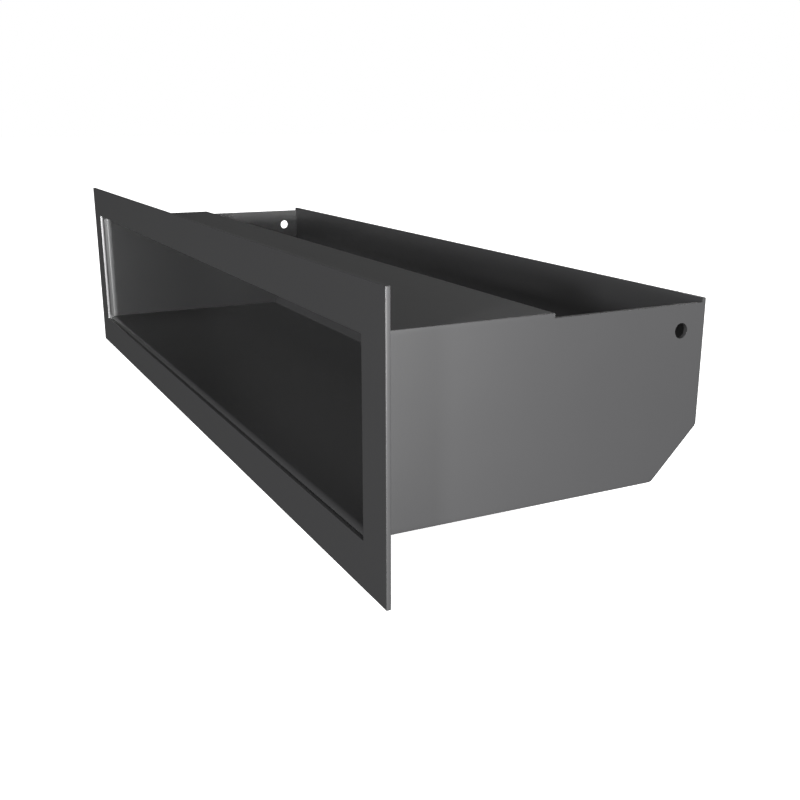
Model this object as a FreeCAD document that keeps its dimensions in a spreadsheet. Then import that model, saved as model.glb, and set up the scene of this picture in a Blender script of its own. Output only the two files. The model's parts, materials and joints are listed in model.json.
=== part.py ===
"""Recessed slot vent box: a flat front frame with a folded sheet-metal housing behind it.

The housing is open at the front, inside the frame, and open at the top of its rear half, so that
air, or a flat item dropped through the slot, turns upwards or falls clear behind the wall.
Every housing sheet ends at the front in a narrow flange, folded outwards, that is spot-welded to
the rear of the frame. The four flanges bear on the wall.

Frame of the part: +X to the right seen from the front, +Y into the wall, +Z up.
The origin is the middle of the floor's flange, on its rear face, which rests on the wall.
All lengths are in millimetres.
"""
import FreeCAD, Part
import math
import os

import Sketcher

# Driving dimensions: alias, value, meaning.
DRIVING_SIZES = (
    ("frame_width", 390.0, "outside width of the front frame"),
    ("frame_height", 90.0, "outside height of the front frame"),
    ("frame_sheet", 1.5, "thickness of the front frame"),
    ("border", 15.0, "width of the frame's border round the slot"),
    ("housing_sheet", 1.5, "thickness of every housing sheet"),
    ("housing_depth", 120.0, "frame's rear face to the outside of the rear wall"),
    ("top_depth", 61.5, "frame's rear face to the free edge of the top plate"),
    ("slope_run", 17.5, "how far the sloped panel reaches forward and up, outside"),
    ("fold_radius", 0.75, "inside radius of every fold"),
    ("flange_width", 10.0, "how far the flanges stand out from the housing"),
    ("hole_diameter", 5.0, "fixing hole in each end panel"),
    ("hole_from_rear", 9.5, "hole centre to the outside of the rear wall"),
    ("hole_from_top", 10.0, "hole centre to the outside of the top plate"),
)
SHEET_NAME = "sizes"
PARTS_FOLDER = "parts"
SAME_PLACE = 1e-4

# Places that several sub-parts share, as expressions on the driving dimensions.
# Each body is modelled with y = 0 on the frame's rear face and z = 0 at the frame's lower edge,
# and its placement then carries it to the part's origin on the wall face.
ORIGIN_BACK = "-sizes.housing_sheet"
ORIGIN_DROP = "-(sizes.border - sizes.flange_width / 2)"
HALF_FRAME = "(sizes.frame_width / 2)"
HALF_HOUSING = "(sizes.frame_width / 2 - sizes.border)"
FLANGE_BOTTOM = "(sizes.border - sizes.flange_width)"
FLANGE_TOP = "(sizes.frame_height - sizes.border + sizes.flange_width)"
FLANGE_REAR = "sizes.housing_sheet"
FLOOR_BELOW = "sizes.border"
FLOOR_ABOVE = "(sizes.border + sizes.housing_sheet)"
TOP_ABOVE = "(sizes.frame_height - sizes.border)"
TOP_BELOW = "(sizes.frame_height - sizes.border - sizes.housing_sheet)"
REAR_OUTSIDE = "sizes.housing_depth"
REAR_INSIDE = "(sizes.housing_depth - sizes.housing_sheet)"
SLOPE_START_OUTSIDE = "(sizes.housing_depth - sizes.slope_run)"
SLOPE_END_OUTSIDE = "(sizes.border + sizes.slope_run)"
# The sheet turns through 45 degrees at each end of the slope, so the corners of its inner face
# are moved by the sheet's thickness times the tangent of half that turn.
FOLD_SHIFT = "sizes.housing_sheet * tan(22.5 deg)"
SLOPE_START_INSIDE = f"({SLOPE_START_OUTSIDE} - {FOLD_SHIFT})"
SLOPE_END_INSIDE = f"({SLOPE_END_OUTSIDE} + {FOLD_SHIFT})"
FOLD_INSIDE = "sizes.fold_radius"
FOLD_OUTSIDE = "sizes.fold_radius + sizes.housing_sheet"


def make_sizes(document):
    """Spreadsheet of the driving dimensions: name, value and meaning in one row each."""
    sheet = document.addObject("Spreadsheet::Sheet", SHEET_NAME)
    for row, (alias, value, meaning) in enumerate(DRIVING_SIZES, start=1):
        sheet.set(f"A{row}", alias)
        sheet.set(f"B{row}", str(value))
        sheet.set(f"C{row}", meaning)
        sheet.setAlias(f"B{row}", alias)
    document.recompute()


def number(owner, expression):
    """The present value of an expression, as a plain number."""
    value = owner.evalExpression(expression)
    return float(getattr(value, "Value", value))


def new_body(document, name, across="0"):
    """A body for one sheet, placed so that the part's origin is on the wall face."""
    body = document.addObject("PartDesign::Body", name)
    body.Label = name
    body.setExpression(".Placement.Base.x", across)
    body.setExpression(".Placement.Base.y", ORIGIN_BACK)
    body.setExpression(".Placement.Base.z", ORIGIN_DROP)
    return body


def new_sketch(body, name, plane):
    """A sketch on one of the body's own origin planes."""
    sketch = body.newObject("Sketcher::SketchObject", name)
    support = [item for item in body.Origin.OriginFeatures if item.Role == plane][0]
    sketch.AttachmentSupport = [(support, "")]
    sketch.MapMode = "FlatFace"
    return sketch


def hold_point(sketch, geometry, point, x, y):
    """Bind a sketch point to two expressions; a zero puts it on the sketch's axis."""
    for kind, axis, expression in (("DistanceX", -2, x), ("DistanceY", -1, y)):
        if expression == "0":
            sketch.addConstraint(Sketcher.Constraint("PointOnObject", geometry, point, axis))
            continue
        value = number(sketch, expression)
        held = sketch.addConstraint(Sketcher.Constraint(kind, geometry, point, value))
        sketch.setExpression(f"Constraints[{held}]", expression)


def add_outline(sketch, points):
    """A closed outline of straight lines; every corner is held by its two coordinates."""
    corners = [FreeCAD.Vector(number(sketch, x), number(sketch, y), 0) for x, y in points]
    first = sketch.GeometryCount
    count = len(points)
    for index in range(count):
        line = Part.LineSegment(corners[index], corners[(index + 1) % count])
        sketch.addGeometry(line, False)
    for index in range(count):
        following = first + (index + 1) % count
        sketch.addConstraint(Sketcher.Constraint("Coincident", first + index, 2, following, 1))
    for index, (x, y) in enumerate(points):
        hold_point(sketch, first + index, 1, x, y)


def add_circle(sketch, x, y, diameter):
    """A full circle whose centre and diameter are bound to expressions."""
    centre = FreeCAD.Vector(number(sketch, x), number(sketch, y), 0)
    size = number(sketch, diameter)
    circle = Part.Circle(centre, FreeCAD.Vector(0, 0, 1), size / 2)
    index = sketch.addGeometry(circle, False)
    hold_point(sketch, index, 3, x, y)
    held = sketch.addConstraint(Sketcher.Constraint("Diameter", index, size))
    sketch.setExpression(f"Constraints[{held}]", diameter)


def pad(body, sketch, name, length, midplane=False):
    """Extrude a sketch to a sheet's thickness or to its length."""
    feature = body.newObject("PartDesign::Pad", name)
    feature.Profile = sketch
    feature.setExpression("Length", length)
    feature.Midplane = midplane
    body.Tip = feature
    body.Document.recompute()
    return feature


def cut_through(body, base, sketch, name):
    """Cut a sketch right through a sheet, and make sure that it removed something."""
    feature = body.newObject("PartDesign::Pocket", name)
    feature.Profile = sketch
    feature.Type = "ThroughAll"
    feature.Midplane = True
    body.Tip = feature
    body.Document.recompute()
    if feature.Shape.Volume >= base.Shape.Volume:
        raise RuntimeError(f"{name} cuts nothing")
    return feature


def edges_along(feature, axis, corners):
    """Names of the edges parallel to an axis through the given corners.

    A corner is the pair of the edge's other two coordinates, in x, y, z order.
    """
    others = [index for index in range(3) if index != axis]
    names = []
    for number_in_shape, edge in enumerate(feature.Shape.Edges, start=1):
        start = edge.Vertexes[0].Point
        end = edge.Vertexes[-1].Point
        if abs(start[axis] - end[axis]) < SAME_PLACE:
            continue
        if max(abs(start[index] - end[index]) for index in others) > SAME_PLACE:
            continue
        place = [start[index] for index in others]
        if any(math.dist(place, corner) < SAME_PLACE for corner in corners):
            names.append(f"Edge{number_in_shape}")
    if len(names) != len(corners):
        raise RuntimeError(f"{feature.Name}: found {len(names)} of {len(corners)} fold edges")
    return names


def round_edges(body, base, name, axis, corners, radius):
    """Round the edges through the given corners, each a pair of expressions."""
    places = [[number(base, value) for value in corner] for corner in corners]
    fillet = body.newObject("PartDesign::Fillet", name)
    fillet.Base = (base, edges_along(base, axis, places))
    fillet.setExpression("Radius", radius)
    body.Tip = fillet
    body.Document.recompute()
    return fillet


def make_front_frame(document):
    """Flat laser-cut frame round the slot; it hides the flanges of the housing."""
    body = new_body(document, "front_frame")
    sketch = new_sketch(body, "frame_outline", "XZ_Plane")
    add_outline(sketch, (
        (f"-{HALF_FRAME}", "0"),
        (HALF_FRAME, "0"),
        (HALF_FRAME, "sizes.frame_height"),
        (f"-{HALF_FRAME}", "sizes.frame_height"),
    ))
    add_outline(sketch, (
        (f"-{HALF_HOUSING}", FLOOR_BELOW),
        (HALF_HOUSING, FLOOR_BELOW),
        (HALF_HOUSING, TOP_ABOVE),
        (f"-{HALF_HOUSING}", TOP_ABOVE),
    ))
    pad(body, sketch, "frame_plate", "sizes.frame_sheet")
    return body


def make_folded_back(document):
    """One sheet folded into the front flange, the floor, the slope and the rear wall."""
    body = new_body(document, "folded_back")
    sketch = new_sketch(body, "back_profile", "YZ_Plane")
    add_outline(sketch, (
        ("0", FLANGE_BOTTOM),
        ("0", FLOOR_ABOVE),
        (SLOPE_START_INSIDE, FLOOR_ABOVE),
        (REAR_INSIDE, SLOPE_END_INSIDE),
        (REAR_INSIDE, TOP_ABOVE),
        (REAR_OUTSIDE, TOP_ABOVE),
        (REAR_OUTSIDE, SLOPE_END_OUTSIDE),
        (SLOPE_START_OUTSIDE, FLOOR_BELOW),
        (FLANGE_REAR, FLOOR_BELOW),
        (FLANGE_REAR, FLANGE_BOTTOM),
    ))
    sheet = pad(body, sketch, "back_sheet", f"2 * {HALF_HOUSING}", midplane=True)
    hollow = (
        (SLOPE_START_INSIDE, FLOOR_ABOVE),
        (REAR_INSIDE, SLOPE_END_INSIDE),
        (FLANGE_REAR, FLOOR_BELOW),
    )
    crowned = (
        (SLOPE_START_OUTSIDE, FLOOR_BELOW),
        (REAR_OUTSIDE, SLOPE_END_OUTSIDE),
        ("0", FLOOR_ABOVE),
    )
    folds = round_edges(body, sheet, "back_inner_folds", 0, hollow, FOLD_INSIDE)
    round_edges(body, folds, "back_outer_folds", 0, crowned, FOLD_OUTSIDE)
    return body


def make_top_plate(document):
    """Plate over the front of the housing; it lies on the end panels, its flange turned up."""
    body = new_body(document, "top_plate")
    sketch = new_sketch(body, "top_profile", "YZ_Plane")
    add_outline(sketch, (
        ("0", TOP_BELOW),
        ("sizes.top_depth", TOP_BELOW),
        ("sizes.top_depth", TOP_ABOVE),
        (FLANGE_REAR, TOP_ABOVE),
        (FLANGE_REAR, FLANGE_TOP),
        ("0", FLANGE_TOP),
    ))
    sheet = pad(body, sketch, "top_sheet", f"2 * {HALF_HOUSING}", midplane=True)
    hollow = ((FLANGE_REAR, TOP_ABOVE),)
    crowned = (("0", TOP_BELOW),)
    folds = round_edges(body, sheet, "top_inner_fold", 0, hollow, FOLD_INSIDE)
    round_edges(body, folds, "top_outer_fold", 0, crowned, FOLD_OUTSIDE)
    return body


def make_end_panel(document, name, side):
    """End panel, side 1 for the right or -1 for the left, inside the folded sheet.

    It is modelled with x = 0 on its outer face.
    """
    body = new_body(document, name, f"{side} * {HALF_HOUSING}")
    profile = new_sketch(body, f"{name}_profile", "XY_Plane")
    inner_face = f"{-side} * sizes.housing_sheet"
    flange_tip = f"{side} * sizes.flange_width"
    add_outline(profile, (
        (inner_face, "0"),
        (flange_tip, "0"),
        (flange_tip, FLANGE_REAR),
        ("0", FLANGE_REAR),
        ("0", REAR_INSIDE),
        (inner_face, REAR_INSIDE),
    ))
    profile.AttachmentOffset = FreeCAD.Placement()
    profile.setExpression(".AttachmentOffset.Base.z", FLOOR_ABOVE)
    panel = pad(body, profile, f"{name}_sheet", f"{TOP_BELOW} - {FLOOR_ABOVE}")
    hollow = (("0", FLANGE_REAR),)
    crowned = ((inner_face, "0"),)
    panel = round_edges(body, panel, f"{name}_inner_fold", 2, hollow, FOLD_INSIDE)
    panel = round_edges(body, panel, f"{name}_outer_fold", 2, crowned, FOLD_OUTSIDE)

    corner = new_sketch(body, f"{name}_slope", "YZ_Plane")
    add_outline(corner, (
        (SLOPE_START_INSIDE, FLOOR_ABOVE),
        (REAR_INSIDE, SLOPE_END_INSIDE),
        (REAR_INSIDE, FLOOR_ABOVE),
    ))
    panel = cut_through(body, panel, corner, f"{name}_corner")
    ends_of_slope = ((SLOPE_START_INSIDE, FLOOR_ABOVE), (REAR_INSIDE, SLOPE_END_INSIDE))
    panel = round_edges(body, panel, f"{name}_corner_rounds", 0, ends_of_slope, FOLD_INSIDE)

    hole_place = new_sketch(body, f"{name}_hole_place", "YZ_Plane")
    add_circle(
        hole_place,
        f"{REAR_OUTSIDE} - sizes.hole_from_rear",
        f"{TOP_ABOVE} - sizes.hole_from_top",
        "sizes.hole_diameter",
    )
    cut_through(body, panel, hole_place, f"{name}_hole")
    return body


def check_document(document, sub_parts):
    """Stop before anything is written if a feature failed or a solid isn't sound."""
    for item in document.Objects:
        bad = [state for state in item.State if state in ("Invalid", "Error")]
        if bad:
            raise RuntimeError(f"{item.Name}: {bad}")
    for item in sub_parts:
        if item.Shape.isNull() or not item.Shape.isValid():
            raise RuntimeError(f"{item.Label}: no valid shape")


def export(sub_parts):
    """One STEP file per sub-part, named after its node."""
    os.makedirs(PARTS_FOLDER, exist_ok=True)
    for item in sub_parts:
        item.Shape.exportStep(os.path.join(PARTS_FOLDER, f"{item.Label}.step"))
        box = item.Shape.BoundBox
        print(
            f"{item.Label}: {len(item.Shape.Solids)} solid(s), {item.Shape.Volume:.1f} mm3, "
            f"x {box.XMin:.2f} to {box.XMax:.2f}, y {box.YMin:.2f} to {box.YMax:.2f}, "
            f"z {box.ZMin:.2f} to {box.ZMax:.2f}"
        )


def main():
    document = FreeCAD.newDocument("slot_vent_box")
    make_sizes(document)
    sub_parts = [
        make_front_frame(document),
        make_folded_back(document),
        make_top_plate(document),
        make_end_panel(document, "end_panel_left", -1),
        make_end_panel(document, "end_panel_right", 1),
    ]
    document.recompute()
    check_document(document, sub_parts)
    export(sub_parts)


main()
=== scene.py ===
# %% [markdown]
# A recessed slot vent box
#
# The object is a sheet-metal box that is let into a wall. A flat frame covers the cut-out, and the
# housing behind it is folded from 1.5 mm steel and powder coated in satin graphite. The frame of
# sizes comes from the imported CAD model. Here every sheet is made again with softly rounded cut
# edges and smooth folds, because it is at its edges and folds that thin metal catches the light.

# %% Load the frame
import json
import math

import bmesh
import bpy
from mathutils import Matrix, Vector
from mathutils.bvhtree import BVHTree


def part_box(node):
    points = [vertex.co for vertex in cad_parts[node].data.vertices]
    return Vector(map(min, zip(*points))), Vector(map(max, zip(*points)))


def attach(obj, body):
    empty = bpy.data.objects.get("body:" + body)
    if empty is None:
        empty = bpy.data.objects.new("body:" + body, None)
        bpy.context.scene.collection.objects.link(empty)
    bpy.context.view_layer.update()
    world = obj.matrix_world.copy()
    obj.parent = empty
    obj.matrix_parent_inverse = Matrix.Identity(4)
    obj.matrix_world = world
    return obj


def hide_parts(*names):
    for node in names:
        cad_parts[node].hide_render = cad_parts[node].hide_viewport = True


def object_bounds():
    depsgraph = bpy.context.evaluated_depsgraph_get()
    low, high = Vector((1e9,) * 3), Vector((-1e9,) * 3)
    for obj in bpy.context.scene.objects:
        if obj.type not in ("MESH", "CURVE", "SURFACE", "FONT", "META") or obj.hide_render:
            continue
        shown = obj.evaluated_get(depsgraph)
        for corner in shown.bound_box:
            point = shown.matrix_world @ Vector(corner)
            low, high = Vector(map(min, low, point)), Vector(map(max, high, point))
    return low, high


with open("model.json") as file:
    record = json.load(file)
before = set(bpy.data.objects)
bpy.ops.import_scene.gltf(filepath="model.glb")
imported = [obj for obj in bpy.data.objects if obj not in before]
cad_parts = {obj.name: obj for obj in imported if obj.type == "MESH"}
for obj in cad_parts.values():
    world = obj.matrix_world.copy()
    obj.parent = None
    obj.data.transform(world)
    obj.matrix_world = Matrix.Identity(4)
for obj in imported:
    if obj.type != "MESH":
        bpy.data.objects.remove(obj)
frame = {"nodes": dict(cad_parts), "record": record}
cad_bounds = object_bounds()
print("CAD box, metres:", [[round(value, 5) for value in corner] for corner in cad_bounds])

# %% [markdown]
# Sizes
#
# A good habit is to measure the CAD model once and to give each measure the name that a sheet-metal
# worker would use. Every later cell reads these names, so a new CAD size moves everything with it.
# X runs along the slot, Y goes into the wall and Z is up. All lengths are in metres.

# %% Measure the sheets
frame_low, frame_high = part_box("front_frame")
back_low, back_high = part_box("folded_back")
plate_low, plate_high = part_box("top_plate")
panel_low, panel_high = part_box("end_panel_right")

frame_front = frame_low[1]
frame_rear = frame_high[1]
frame_sheet = frame_rear - frame_front
half_housing = back_high[0]
border = frame_high[0] - half_housing
sheet = back_high[1] - panel_high[1]
flange = panel_high[0] - half_housing
slot_floor = back_low[2] + flange
floor_top = slot_floor + sheet
roof_under = plate_low[2]
rear_outside = back_high[1]
rear_inside = panel_high[1]
plate_rear = plate_high[1]
print(f"sheet {sheet * 1000:.2f} mm, border {border * 1000:.1f} mm, flange {flange * 1000:.1f} mm")

# %% [markdown]
# Folds and cut edges
#
# A press brake leaves a small inside radius, and the outside radius is that plus the sheet. The
# slope at the back of the floor is 45 degrees. Laser-cut edges are sharp, but a coat of powder
# always rounds them a little, so they get a fillet of a fifth of a millimetre.

# %% Name the radii
inside_radius = 0.00075
outside_radius = inside_radius + sheet
fold_segments = 8
slope_angle = math.radians(45)
slope_run = 0.0175
cut_rounding = 0.0002
cut_segments = 2
sharp_angle = math.radians(30)
square_angle = math.radians(60)
touching = 0.000001
near_slope = 0.0001

fold_shift = sheet * math.tan(slope_angle / 2)
slope_start = rear_outside - slope_run - fold_shift
slope_end = slot_floor + slope_run + fold_shift
print(f"the slope runs from y {slope_start:.4f} to z {slope_end:.4f}")

# %% [markdown]
# The camera
#
# It stands to the right of the box and a little in front of it, close enough for the near corner
# to loom and the far end to shrink away. The lens is a normal one, and nothing is shifted.

# %% Place the camera
camera_place = Vector((0.4168, -0.1111, 0.1211))
camera_tilt = math.radians(74.011)
camera_turn = math.radians(63.161)
camera_lens = 44.79

camera_data = bpy.data.cameras.new("camera")
camera_data.lens = camera_lens
camera_data.sensor_width = 36
camera_data.clip_start = 0.01
camera = bpy.data.objects.new("camera", camera_data)
camera.location = camera_place
camera.rotation_euler = (camera_tilt, 0, camera_turn)
bpy.context.scene.collection.objects.link(camera)
bpy.context.scene.camera = camera
print("camera", [round(value, 4) for value in camera.location], f"lens {camera_lens} mm")

# %% [markdown]
# From a mesh in the making to a piece
#
# Each sheet is shaped in a bmesh and then becomes an object at the origin, with its place in its
# vertices. All faces are smooth, and a Weighted Normal modifier lets the large flat faces rule the
# normals, so the flats stay flat and only the narrow fillets and folds shade round. The few square
# edges that stay are marked sharp, or the normals of a large face would bend round them. A square
# edge can end where a fillet begins, and there the normals would still leak past its end, so the
# edges of its two faces are marked sharp as well where they meet it.

# %% Turn a bmesh into a piece
def make_piece(shape, name):
    """A smooth-shaded object from a bmesh, which is freed."""
    bmesh.ops.recalc_face_normals(shape, faces=shape.faces[:])
    for face in shape.faces:
        face.smooth = True
    square_edges = [edge for edge in shape.edges if edge.calc_face_angle() > square_angle]
    for edge in square_edges:
        for face in edge.link_faces:
            for side in face.edges:
                if set(side.verts) & set(edge.verts):
                    side.smooth = False
    mesh = bpy.data.meshes.new(name)
    shape.to_mesh(mesh)
    shape.free()
    piece = bpy.data.objects.new(name, mesh)
    bpy.context.scene.collection.objects.link(piece)
    flats = piece.modifiers.new("flat_faces_rule", "WEIGHTED_NORMAL")
    flats.mode = "FACE_AREA"
    flats.weight = 100
    flats.keep_sharp = True
    print(f"{name}: {len(mesh.vertices)} vertices, {len(mesh.polygons)} faces")
    return piece


# %% [markdown]
# Thickness
#
# A sheet starts as a surface without thickness, drawn on the side that looks out of the slot into
# the room. The solidify operator then adds the metal behind it. It can only do that the right way
# if the normals of the surface are known, so they are turned forwards first.

# %% Give a surface its thickness
def thicken(shape, thickness, forward_face):
    """Add the metal behind a surface. forward_face is one of its faces that looks forwards."""
    shape.normal_update()
    if forward_face.normal.y > 0:
        bmesh.ops.reverse_faces(shape, faces=shape.faces[:])
    bmesh.ops.solidify(shape, geom=shape.faces[:], thickness=thickness)
    shape.normal_update()


# %% [markdown]
# Rounded cut edges
#
# The bevel operator works on the edges where two faces meet sharply. Where two sheets are joined
# flush, the seam is ground and coated over and mustn't show as a groove, so each sheet says which
# of its edges lie in a seam, and those stay as they are.

# %% Round the free edges
def round_cut_edges(shape, in_seam=lambda middle: False):
    """Bevel every sharp edge whose middle isn't in a seam."""
    bmesh.ops.recalc_face_normals(shape, faces=shape.faces[:])
    free = []
    for edge in shape.edges:
        middle = (edge.verts[0].co + edge.verts[1].co) / 2
        sharp = len(edge.link_faces) == 2 and edge.calc_face_angle() > sharp_angle
        if sharp and not in_seam(middle):
            free.append(edge)
    bmesh.ops.bevel(
        shape, geom=free, offset=cut_rounding, offset_type="OFFSET", affect="EDGES",
        segments=cut_segments, profile=0.5, material=-1, clamp_overlap=True,
    )
    print(f"  {len(free)} cut edges rounded")


# %% [markdown]
# The front frame
#
# It is one flat plate, cut out by laser. A rectangle, inset by the width of the border, gives the
# opening: the inner face is taken away and the ring is made as thick as the plate. That is simpler
# and cleaner than cutting a hole with a boolean.

# %% Make the front frame
def make_front_frame():
    """The flat plate round the slot."""
    shape = bmesh.new()
    corners = [
        shape.verts.new((x, frame_front, z))
        for x, z in (
            (frame_low[0], frame_low[2]), (frame_high[0], frame_low[2]),
            (frame_high[0], frame_high[2]), (frame_low[0], frame_high[2]),
        )
    ]
    plate = shape.faces.new(corners)
    shape.normal_update()
    bmesh.ops.inset_individual(shape, faces=[plate], thickness=border, use_even_offset=True)
    bmesh.ops.delete(shape, geom=[plate], context="FACES_ONLY")
    made = bmesh.ops.extrude_face_region(shape, geom=shape.faces[:])
    rear = [item for item in made["geom"] if isinstance(item, bmesh.types.BMVert)]
    bmesh.ops.translate(shape, verts=rear, vec=(0, frame_sheet, 0))
    round_cut_edges(shape)
    return make_piece(shape, "frame_plate")


frame_plate = make_front_frame()

# %% [markdown]
# Folding a sheet
#
# The other four sheets are folded. Each begins as a line of edges across the folds, like the bend
# sketch of a sheet-metal drawing, and is swept along the folds. Each fold is then an edge that can
# be beveled: for a radius r and a turn a, the bevel reaches r times tan(a / 2) to each side.

# %% Sweep a line of edges
def sweep_line(points, along):
    """A surface from an open line through the points, swept by a vector."""
    shape = bmesh.new()
    places = [shape.verts.new(point) for point in points]
    for start, end in zip(places, places[1:]):
        shape.edges.new((start, end))
    made = bmesh.ops.extrude_edge_only(shape, edges=shape.edges[:])
    moved = [item for item in made["geom"] if isinstance(item, bmesh.types.BMVert)]
    bmesh.ops.translate(shape, verts=moved, vec=along)
    return shape


# %% Bend a fold
def bend(shape, corner, along, radius):
    """Round the fold that passes through corner in the direction along."""
    direction = along.normalized()
    for edge in shape.edges:
        gaps = [(vertex.co - corner).cross(direction).length for vertex in edge.verts]
        if max(gaps) < touching:
            turn = edge.calc_face_angle()
            bmesh.ops.bevel(
                shape, geom=[edge], offset=radius * math.tan(turn / 2), offset_type="OFFSET",
                affect="EDGES", segments=fold_segments, profile=0.5, material=-1,
            )
            return
    raise ValueError(f"no fold at {tuple(corner)}")


# %% [markdown]
# The folded back
#
# One sheet makes the floor, the slope and the rear wall, and turns down at the front into a flange
# behind the frame. Seen from the slot, the front fold is an outside bend and the two at the slope
# are inside bends, so they have different radii on the side where the line is drawn.

# %% Make the folded back
def make_folded_back():
    """Flange, floor, slope and rear wall, in one sheet."""
    left = -half_housing
    along = Vector((2 * half_housing, 0, 0))
    front_fold = Vector((left, frame_rear, floor_top))
    slope_foot = Vector((left, slope_start, floor_top))
    slope_head = Vector((left, rear_inside, slope_end))
    line = (
        Vector((left, frame_rear, back_low[2])),
        front_fold,
        slope_foot,
        slope_head,
        Vector((left, rear_inside, back_high[2])),
    )
    shape = sweep_line(line, along)
    bend(shape, front_fold, along, outside_radius)
    bend(shape, slope_foot, along, inside_radius)
    bend(shape, slope_head, along, inside_radius)
    flange_face = min(shape.faces, key=lambda face: face.calc_center_median().z)
    thicken(shape, sheet, flange_face)

    def in_seam(middle):
        at_end = half_housing - abs(middle.x) < touching
        inside = middle.z > floor_top - touching and middle.y < rear_inside + touching
        behind_slope = middle.y - slope_start - (middle.z - floor_top) > near_slope
        return at_end and inside and not behind_slope

    round_cut_edges(shape, in_seam)
    return make_piece(shape, "back_sheet")


back_sheet = make_folded_back()

# %% [markdown]
# The top plate
#
# It covers only the front half of the housing and lies on the end panels. Its flange turns up
# behind the frame.

# %% Make the top plate
def make_top_plate():
    """Flange and plate, in one sheet."""
    left = -half_housing
    along = Vector((2 * half_housing, 0, 0))
    front_fold = Vector((left, frame_rear, roof_under))
    line = (
        Vector((left, frame_rear, plate_high[2])),
        front_fold,
        Vector((left, plate_rear, roof_under)),
    )
    shape = sweep_line(line, along)
    bend(shape, front_fold, along, outside_radius)
    flange_face = max(shape.faces, key=lambda face: face.calc_center_median().z)
    thicken(shape, sheet, flange_face)

    def in_seam(middle):
        return half_housing - abs(middle.x) < touching and middle.z < roof_under + touching

    round_cut_edges(shape, in_seam)
    return make_piece(shape, "roof_sheet")


roof_sheet = make_top_plate()

# %% [markdown]
# The end panels
#
# Each end panel stands on the floor inside the folded sheet. Its rear bottom corner is cut off to
# follow the slope, and a small fixing hole is drilled near its rear top corner. The hole's place
# and size are those of the record's mount. The right panel is made, and the left one is its mirror
# image.

# %% Read the fixing hole
hole = next(mount for mount in frame["record"]["mounts"] if mount["name"] == "fixing_hole_right")
hole_radius = hole["dims"]["r_mm"] / 1000
hole_place = Vector((panel_low[0], hole["pos_m"][1], hole["pos_m"][2]))
hole_sides = 48
cell_share = 1.5
print(f"fixing hole {2000 * hole_radius:.1f} mm at {[round(value, 4) for value in hole_place]}")


# %% [markdown]
# A round hole in a flat face
#
# Four cuts with bisect_plane leave a square cell round the hole. The cell is taken away and its
# edges are divided as finely as the circle. They are then extruded, and each new vertex is drawn in
# to the circle, which leaves a ring of neat quads between the square and the hole.

# %% Drill the hole
def drill(shape, centre, radius):
    """Open a round hole in the flat face that holds centre and looks along X."""
    half_cell = cell_share * radius
    for direction in (Vector((0, 1, 0)), Vector((0, -1, 0)), Vector((0, 0, 1)), Vector((0, 0, -1))):
        bmesh.ops.bisect_plane(
            shape, geom=shape.verts[:] + shape.edges[:] + shape.faces[:],
            plane_co=centre + half_cell * direction, plane_no=direction,
        )
    cell = min(shape.faces, key=lambda face: (face.calc_center_median() - centre).length)
    rim = cell.edges[:]
    bmesh.ops.delete(shape, geom=[cell], context="FACES_ONLY")
    bmesh.ops.subdivide_edges(shape, edges=rim, cuts=hole_sides // 4 - 1)
    square = [edge for edge in shape.edges if edge.is_boundary and in_cell(edge, centre, half_cell)]
    made = bmesh.ops.extrude_edge_only(shape, edges=square)
    for vertex in made["geom"]:
        if isinstance(vertex, bmesh.types.BMVert):
            vertex.co = centre + radius * (vertex.co - centre).normalized()


def in_cell(edge, centre, half_cell):
    """Whether an edge lies on the square round the hole."""
    reach = half_cell + touching
    return all(
        abs(vertex.co.y - centre.y) < reach and abs(vertex.co.z - centre.z) < reach
        for vertex in edge.verts
    )


# %% Make an end panel
def make_right_panel():
    """Flange and panel, in one sheet."""
    along = Vector((0, 0, panel_high[2] - panel_low[2]))
    inner = panel_low[0]
    foot = panel_low[2]
    front_fold = Vector((inner, frame_rear, foot))
    line = (
        Vector((panel_high[0], frame_rear, foot)),
        front_fold,
        Vector((inner, rear_inside, foot)),
    )
    shape = sweep_line(line, along)
    bend(shape, front_fold, along, outside_radius)
    slope_foot = Vector((inner, slope_start, foot))
    slope_head = Vector((inner, rear_inside, slope_end))
    bmesh.ops.bisect_plane(
        shape, geom=shape.verts[:] + shape.edges[:] + shape.faces[:],
        plane_co=slope_foot, plane_no=Vector((0, 1, -1)), clear_outer=True,
    )
    drill(shape, hole_place, hole_radius)
    flange_face = max(shape.faces, key=lambda face: face.calc_center_median().x)
    thicken(shape, sheet, flange_face)
    across = Vector((1, 0, 0))
    bend(shape, slope_foot, across, inside_radius)
    bend(shape, slope_head, across, inside_radius)

    def in_seam(middle):
        if abs(middle.x - half_housing) > touching:
            return False
        on_floor = middle.z < foot + touching
        on_slope = (middle.y - slope_start) - (middle.z - foot) > -near_slope
        on_rear = middle.y > rear_inside - touching
        under_roof = middle.z > roof_under - touching and middle.y < plate_rear
        return on_floor or on_slope or on_rear or under_roof

    round_cut_edges(shape, in_seam)
    return make_piece(shape, "right_panel")


right_panel = make_right_panel()

# %% Mirror it for the left
mirrored = bmesh.new()
mirrored.from_mesh(right_panel.data)
bmesh.ops.scale(mirrored, vec=(-1, 1, 1), verts=mirrored.verts[:])
left_panel = make_piece(mirrored, "left_panel")

# %% [markdown]
# Corner beads
#
# Where two outside bends meet at a corner of the slot, their round backs leave a small gap. A
# fabricator closes it with a short weld bead, dressed down before coating. Each bead is an
# icosphere, wider and taller than it is deep and sunk between the sheets. The four share one mesh.

# %% Make the corner beads
bead_radius = 0.00115
bead_spread = (1.22, 1.0, 1.3)
bead_place = Vector((half_housing - 0.0001, frame_rear + 0.0012, 0))
bead_rise = 0.0008


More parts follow.
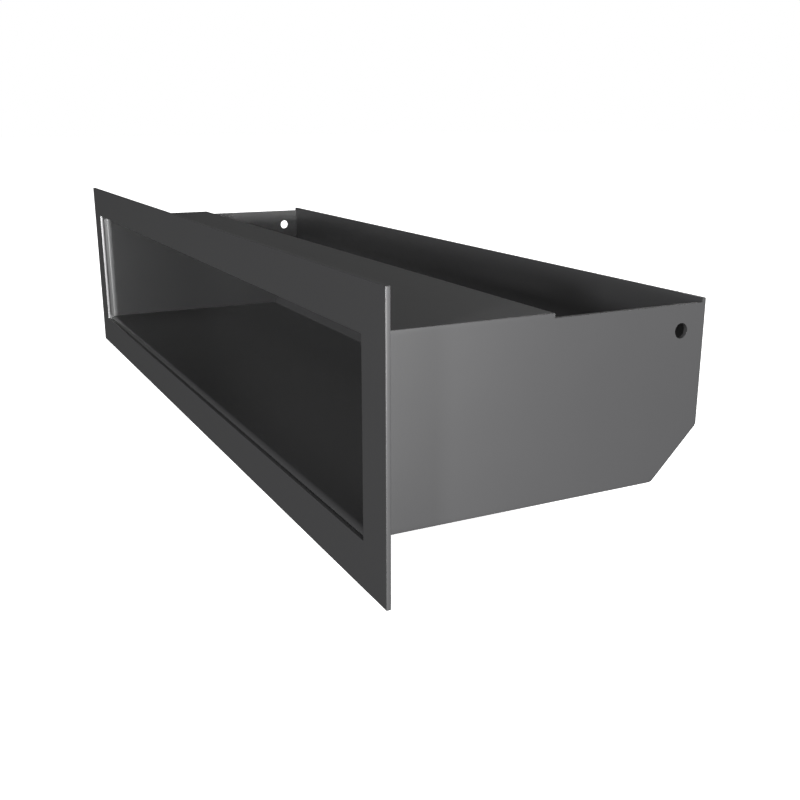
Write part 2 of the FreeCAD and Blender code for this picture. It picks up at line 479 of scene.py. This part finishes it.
def make_corner_beads():
    """One bead in each corner of the slot, behind the frame."""
    shape = bmesh.new()
    for side in (-1, 1):
        for height in (floor_top - bead_rise, roof_under + bead_rise):
            made = bmesh.ops.create_icosphere(shape, subdivisions=3, radius=bead_radius)
            bmesh.ops.scale(shape, vec=bead_spread, verts=made["verts"])
            place = Vector((side * bead_place.x, bead_place.y, height))
            bmesh.ops.translate(shape, vec=place, verts=made["verts"])
    return make_piece(shape, "corner_beads")


corner_beads = make_corner_beads()

# %% [markdown]
# Does it fit the frame?
#
# The new sheets must hold the space of the CAD sheets. The distance from each new vertex to the
# nearest point of the CAD node shows it: only the rounded edges may stand back, and by less than
# their radius.

# %% Compare with the CAD nodes
sheets = {
    "front_frame": frame_plate,
    "folded_back": back_sheet,
    "top_plate": roof_sheet,
    "end_panel_right": right_panel,
    "end_panel_left": left_panel,
}
for node, piece in sheets.items():
    surface = frame["nodes"][node].data
    tree = BVHTree.FromPolygons(
        [vertex.co for vertex in surface.vertices],
        [polygon.vertices for polygon in surface.polygons],
    )
    gap = max(tree.find_nearest(vertex.co)[3] for vertex in piece.data.vertices)
    print(f"{piece.name} is within {gap * 1000:.3f} mm of {node}")

# %% [markdown]
# The finish
#
# Satin graphite powder coat: a dark, slightly rough paint that has melted and set with a very fine
# orange peel. Two shader node groups hold the effects. One gives the peel, as a height, and the
# other the faint cloudiness that a large sprayed face has, as a value about zero.

# %% Start a node group
def new_group(name, inputs, outputs):
    """An empty shader node group with its named sockets, and its two end nodes."""
    group = bpy.data.node_groups.new(name, "ShaderNodeTree")
    for label, value in inputs:
        socket = group.interface.new_socket(label, in_out="INPUT", socket_type="NodeSocketFloat")
        socket.default_value = value
    for label in outputs:
        group.interface.new_socket(label, in_out="OUTPUT", socket_type="NodeSocketFloat")
    return group, group.nodes.new("NodeGroupInput"), group.nodes.new("NodeGroupOutput")


# %% Orange peel
def make_orange_peel():
    """Height of the coat: soft lumps with a finer grain on them."""
    group, given, result = new_group("orange_peel", [("Lumps per metre", 900.0)], ["Height"])
    nodes, links = group.nodes, group.links
    place = nodes.new("ShaderNodeTexCoord")
    lumps = nodes.new("ShaderNodeTexNoise")
    lumps.inputs["Detail"].default_value = 1.0
    finer = nodes.new("ShaderNodeMath")
    finer.operation = "MULTIPLY"
    finer.inputs[1].default_value = 3.1
    grain = nodes.new("ShaderNodeTexNoise")
    grain.inputs["Detail"].default_value = 0.0
    small = nodes.new("ShaderNodeMath")
    small.operation = "MULTIPLY_ADD"
    small.inputs[1].default_value = 0.3
    links.new(place.outputs["Object"], lumps.inputs["Vector"])
    links.new(place.outputs["Object"], grain.inputs["Vector"])
    links.new(given.outputs["Lumps per metre"], lumps.inputs["Scale"])
    links.new(given.outputs["Lumps per metre"], finer.inputs[0])
    links.new(finer.outputs[0], grain.inputs["Scale"])
    links.new(grain.outputs["Fac"], small.inputs[0])
    links.new(lumps.outputs["Fac"], small.inputs[2])
    links.new(small.outputs[0], result.inputs["Height"])
    return group


# %% Cloudiness
def make_cloudiness():
    """Slow change over a large face, from -1 to 1 times the strength."""
    group, given, result = new_group(
        "spray_clouds", [("Clouds per metre", 18.0), ("Strength", 0.05)], ["Change"]
    )
    nodes, links = group.nodes, group.links
    place = nodes.new("ShaderNodeTexCoord")
    clouds = nodes.new("ShaderNodeTexNoise")
    clouds.inputs["Detail"].default_value = 3.0
    clouds.inputs["Roughness"].default_value = 0.55
    centred = nodes.new("ShaderNodeMath")
    centred.operation = "MULTIPLY_ADD"
    centred.inputs[1].default_value = 2.0
    centred.inputs[2].default_value = -1.0
    scaled = nodes.new("ShaderNodeMath")
    scaled.operation = "MULTIPLY"
    links.new(place.outputs["Object"], clouds.inputs["Vector"])
    links.new(given.outputs["Clouds per metre"], clouds.inputs["Scale"])
    links.new(clouds.outputs["Fac"], centred.inputs[0])
    links.new(centred.outputs[0], scaled.inputs[0])
    links.new(given.outputs["Strength"], scaled.inputs[1])
    links.new(scaled.outputs[0], result.inputs["Change"])
    return group


# %% Mix the powder coat
coat_colour = (0.0165, 0.0165, 0.0170, 1.0)
coat_light_colour = (0.0195, 0.0195, 0.0200, 1.0)
coat_roughness = 0.35
peel_depth = 0.000006


def make_powder_coat():
    """The paint, with its shader in the material itself."""
    material = bpy.data.materials.new("powder_coat")
    material.use_nodes = True
    nodes, links = material.node_tree.nodes, material.node_tree.links
    paint = nodes["Principled BSDF"]
    paint.inputs["Metallic"].default_value = 0.0
    paint.inputs["IOR"].default_value = 1.5

    clouds = nodes.new("ShaderNodeGroup")
    clouds.node_tree = make_cloudiness()
    tone = nodes.new("ShaderNodeMath")
    tone.operation = "ADD"
    tone.inputs[1].default_value = 0.5
    colour = nodes.new("ShaderNodeMix")
    colour.data_type = "RGBA"
    colour.inputs["A"].default_value = coat_colour
    colour.inputs["B"].default_value = coat_light_colour
    gloss = nodes.new("ShaderNodeMath")
    gloss.operation = "MULTIPLY_ADD"
    gloss.inputs[1].default_value = 0.4
    gloss.inputs[2].default_value = coat_roughness
    peel = nodes.new("ShaderNodeGroup")
    peel.node_tree = make_orange_peel()
    bump = nodes.new("ShaderNodeBump")
    bump.inputs["Strength"].default_value = 1.0
    bump.inputs["Distance"].default_value = peel_depth

    links.new(clouds.outputs["Change"], tone.inputs[0])
    links.new(tone.outputs[0], colour.inputs["Factor"])
    links.new(colour.outputs["Result"], paint.inputs["Base Color"])
    links.new(clouds.outputs["Change"], gloss.inputs[0])
    links.new(gloss.outputs[0], paint.inputs["Roughness"])
    links.new(peel.outputs["Height"], bump.inputs["Height"])
    links.new(bump.outputs["Normal"], paint.inputs["Normal"])
    return material


powder_coat = make_powder_coat()

# %% Dress the sheets and tie them to the frame
for node, piece in sheets.items():
    piece.data.materials.append(powder_coat)
    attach(piece, "root")
    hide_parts(node)
corner_beads.data.materials.append(powder_coat)
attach(corner_beads, "root")
print(f"{len(sheets)} sheets and the corner beads coated")

# %% [markdown]
# The studio
#
# The floor and the background are near white, and only the camera sees them: a dark satin box
# would otherwise mirror them and lose its depth. The floor brightens with distance until it is as
# white as the background, so no horizon shows.

# %% Lay the floor
floor_size = 6.0
floor_glow = 0.85
glow_start = 0.3
glow_end = 1.2
floor_data = bmesh.new()
bmesh.ops.create_grid(floor_data, x_segments=1, y_segments=1, size=floor_size)
bmesh.ops.translate(floor_data, verts=floor_data.verts[:], vec=(0, 0, cad_bounds[0][2]))
floor_mesh = bpy.data.meshes.new("floor")
floor_data.to_mesh(floor_mesh)
floor_data.free()
floor = bpy.data.objects.new("floor", floor_mesh)
bpy.context.scene.collection.objects.link(floor)
floor.visible_glossy = False
floor.visible_diffuse = False

floor_paint = bpy.data.materials.new("white_floor")
floor_paint.use_nodes = True
floor_shader = floor_paint.node_tree.nodes["Principled BSDF"]
floor_shader.inputs["Base Color"].default_value = (0.8, 0.8, 0.8, 1.0)
floor_shader.inputs["Roughness"].default_value = 0.9
floor_shader.inputs["Emission Color"].default_value = (1.0, 1.0, 1.0, 1.0)
floor_nodes, floor_links = floor_paint.node_tree.nodes, floor_paint.node_tree.links
floor_place = floor_nodes.new("ShaderNodeTexCoord")
distance = floor_nodes.new("ShaderNodeVectorMath")
distance.operation = "LENGTH"
brighten = floor_nodes.new("ShaderNodeMapRange")
brighten.inputs["From Min"].default_value = glow_start
brighten.inputs["From Max"].default_value = glow_end
brighten.inputs["To Min"].default_value = floor_glow
brighten.inputs["To Max"].default_value = 1.0
floor_links.new(floor_place.outputs["Object"], distance.inputs[0])
floor_links.new(distance.outputs["Value"], brighten.inputs["Value"])
floor_links.new(brighten.outputs["Result"], floor_shader.inputs["Emission Strength"])
floor_mesh.materials.append(floor_paint)

# %% Hang the background
def make_world(seen, ambient):
    """A background of one brightness for the camera and another for the object."""
    world = bpy.data.worlds.new("studio")
    world.use_nodes = True
    nodes, links = world.node_tree.nodes, world.node_tree.links
    dim = nodes["Background"]
    dim.inputs["Color"].default_value = (1.0, 1.0, 1.0, 1.0)
    dim.inputs["Strength"].default_value = ambient
    bright = nodes.new("ShaderNodeBackground")
    bright.inputs["Color"].default_value = (1.0, 1.0, 1.0, 1.0)
    bright.inputs["Strength"].default_value = seen
    rays = nodes.new("ShaderNodeLightPath")
    choose = nodes.new("ShaderNodeMixShader")
    links.new(rays.outputs["Is Camera Ray"], choose.inputs["Fac"])
    links.new(dim.outputs[0], choose.inputs[1])
    links.new(bright.outputs[0], choose.inputs[2])
    links.new(choose.outputs[0], nodes["World Output"].inputs["Surface"])
    bpy.context.scene.world = world


make_world(seen=1.0, ambient=0.07)
bpy.context.scene.view_settings.view_transform = "Standard"

# %% [markdown]
# The lights
#
# A narrow strip stands far to the right, just in front of the frame's plane. It glints on every
# edge that faces right, and most of all on the far edge of the slot. The hard key and the fills
# give the large faces their tone. The rear card is very dim, because the top plate mirrors it at a
# glancing angle. The last two are for views from behind.

# %% Hang the lights
def area_light(name, place, aim, width, height, watts):
    """A rectangular soft box at place that points at aim; its height stays upright."""
    data = bpy.data.lights.new(name, "AREA")
    data.shape = "RECTANGLE"
    data.size = width
    data.size_y = height
    data.energy = watts
    light = bpy.data.objects.new(name, data)
    light.location = place
    light.rotation_euler = (Vector(aim) - Vector(place)).to_track_quat("-Z", "Y").to_euler()
    bpy.context.scene.collection.objects.link(light)
    return light


light_distance = 2.0


def around(azimuth, elevation):
    """A place round the box: azimuth from straight ahead towards +X, both angles in degrees."""
    turn, rise = math.radians(azimuth), math.radians(elevation)
    flat = math.cos(rise)
    toward = Vector((math.sin(turn) * flat, -math.cos(turn) * flat, math.sin(rise)))
    return middle + toward * light_distance


middle = Vector((0.0, 0.03, 0.03))
strip_ahead = 0.016
strip_y = frame_front - strip_ahead
strip_place = (light_distance, strip_y, 0.05)
strip_aim = (0.0, strip_y, middle.z)
area_light("side_strip", strip_place, strip_aim, 0.026, 0.10, 125.0)

# Each soft box: name, azimuth and elevation in degrees, width and height in metres, watts.
soft_boxes = (
    ("hard_key", 36, 10, 0.2, 0.2, 68.0),
    ("front_fill", 0, 8, 0.8, 0.3, 30.0),
    ("right_fill", 80, 4, 0.9, 0.3, 27.0),
    ("top_right", 90, 50, 0.8, 0.8, 20.0),
    ("rear_card", -115, 10, 0.8, 0.3, 0.08),
    ("rear_fill", 178, 5, 1.0, 0.2, 45.0),
    ("left_fill", -150, 40, 0.6, 0.4, 12.0),
)
for name, azimuth, elevation, width, height, watts in soft_boxes:
    area_light(name, around(azimuth, elevation), middle, width, height, watts)
